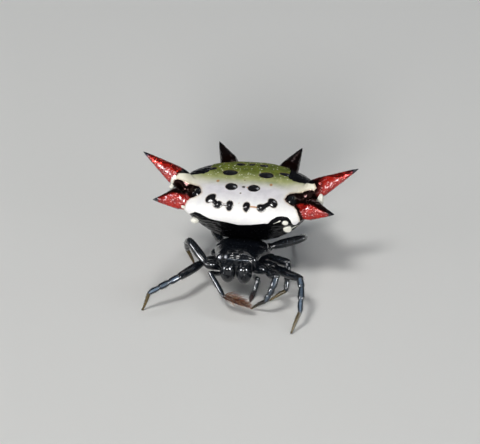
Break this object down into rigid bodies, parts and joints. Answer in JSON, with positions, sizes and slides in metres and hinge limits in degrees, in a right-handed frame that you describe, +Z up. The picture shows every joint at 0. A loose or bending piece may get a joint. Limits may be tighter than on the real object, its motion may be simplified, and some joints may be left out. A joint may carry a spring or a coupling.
{
  "type": "spiny orb weaver",
  "caption": "Adult female spiny orb weaver spider: broad white shield with black spots and red spines, black body and legs, standing with its front feet drawn in.",
  "frame": {"origin": "centre of the model's box, at the level of the eight foot flats", "axes": "+X to the spider's left, -Y the way that it faces, +Z up"},
  "size_m": [0.0134, 0.0128, 0.0068],
  "materials": {
    "shield": "hard semi-gloss cuticle, white with black pits above, red spines, black belly",
    "jet_cuticle": "glossy black cuticle with a blue sheen and sparse fine hairs",
    "eye": "wet-looking black lens"
  },
  "bodies": {
    "root": {"abdomen": "shield", "cephalothorax": "jet_cuticle", "spinnerets": "jet_cuticle", "leg_1_left": "jet_cuticle", "leg_1_right": "jet_cuticle", "leg_2_left": "jet_cuticle", "leg_2_right": "jet_cuticle", "leg_3_left": "jet_cuticle", "leg_3_right": "jet_cuticle", "leg_4_left": "jet_cuticle", "leg_4_right": "jet_cuticle", "palp_left": "jet_cuticle", "palp_right": "jet_cuticle", "chelicera_left": "jet_cuticle", "chelicera_right": "jet_cuticle", "eye_front_median_left": "eye", "eye_front_median_right": "eye", "eye_front_lateral_left": "eye", "eye_front_lateral_right": "eye", "eye_rear_median_left": "eye", "eye_rear_median_right": "eye", "eye_rear_lateral_left": "eye", "eye_rear_lateral_right": "eye"}
  },
  "joints": []
}
